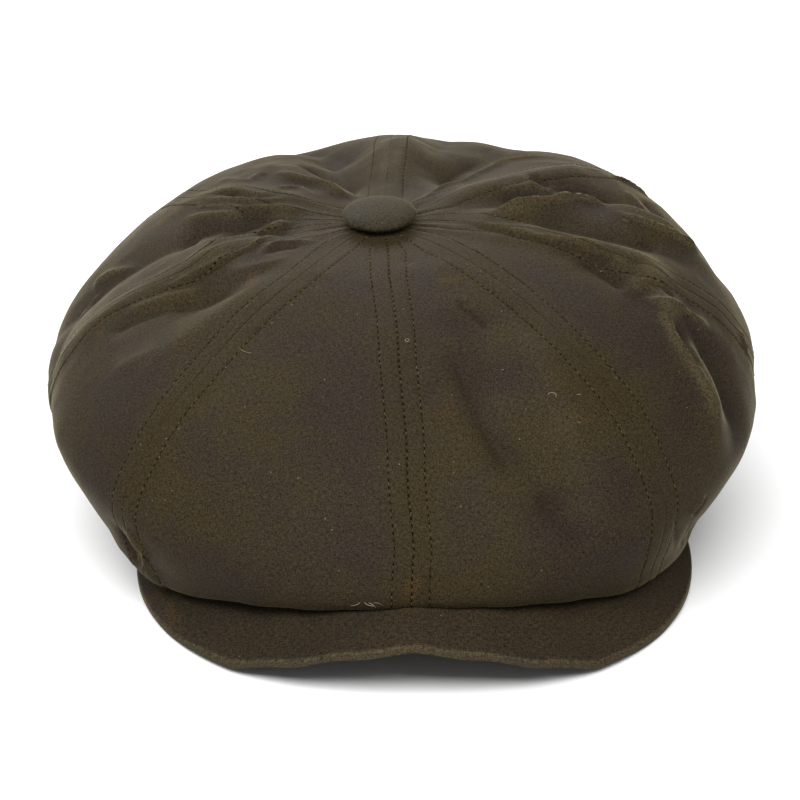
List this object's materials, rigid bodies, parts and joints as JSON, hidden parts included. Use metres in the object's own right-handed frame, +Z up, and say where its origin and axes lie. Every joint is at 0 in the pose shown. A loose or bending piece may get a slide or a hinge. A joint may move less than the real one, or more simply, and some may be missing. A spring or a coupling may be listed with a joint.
{
  "type": "waxed newsboy cap",
  "caption": "Full newsboy cap of waxed cotton: panelled crown gathered under a covered button, short curved peak and a plain inner headband.",
  "frame": {"origin": "middle of the cap's footprint on the surface that it rests on", "axes": "+Z up, +Y to the back of the cap, -Y out over the peak, +X to the viewer's right from the front"},
  "size_m": [0.2682, 0.2882, 0.1219],
  "materials": {
    "crown_cloth": "dark olive brown waxed cotton, dull sheen",
    "peak_cloth": "dark olive brown waxed cotton over a board",
    "band_cloth": "plain dark brown cotton",
    "button_cloth": "dark olive waxed cotton stretched over a button"
  },
  "bodies": {
    "root": {"panel_front_to_front_right": "crown_cloth", "panel_front_right_to_right": "crown_cloth", "panel_right_to_back_right": "crown_cloth", "panel_back_right_to_back": "crown_cloth", "panel_back_to_back_left": "crown_cloth", "panel_back_left_to_left": "crown_cloth", "panel_left_to_front_left": "crown_cloth", "panel_front_left_to_front": "crown_cloth", "peak": "peak_cloth", "headband": "band_cloth", "button": "button_cloth"}
  },
  "joints": []
}
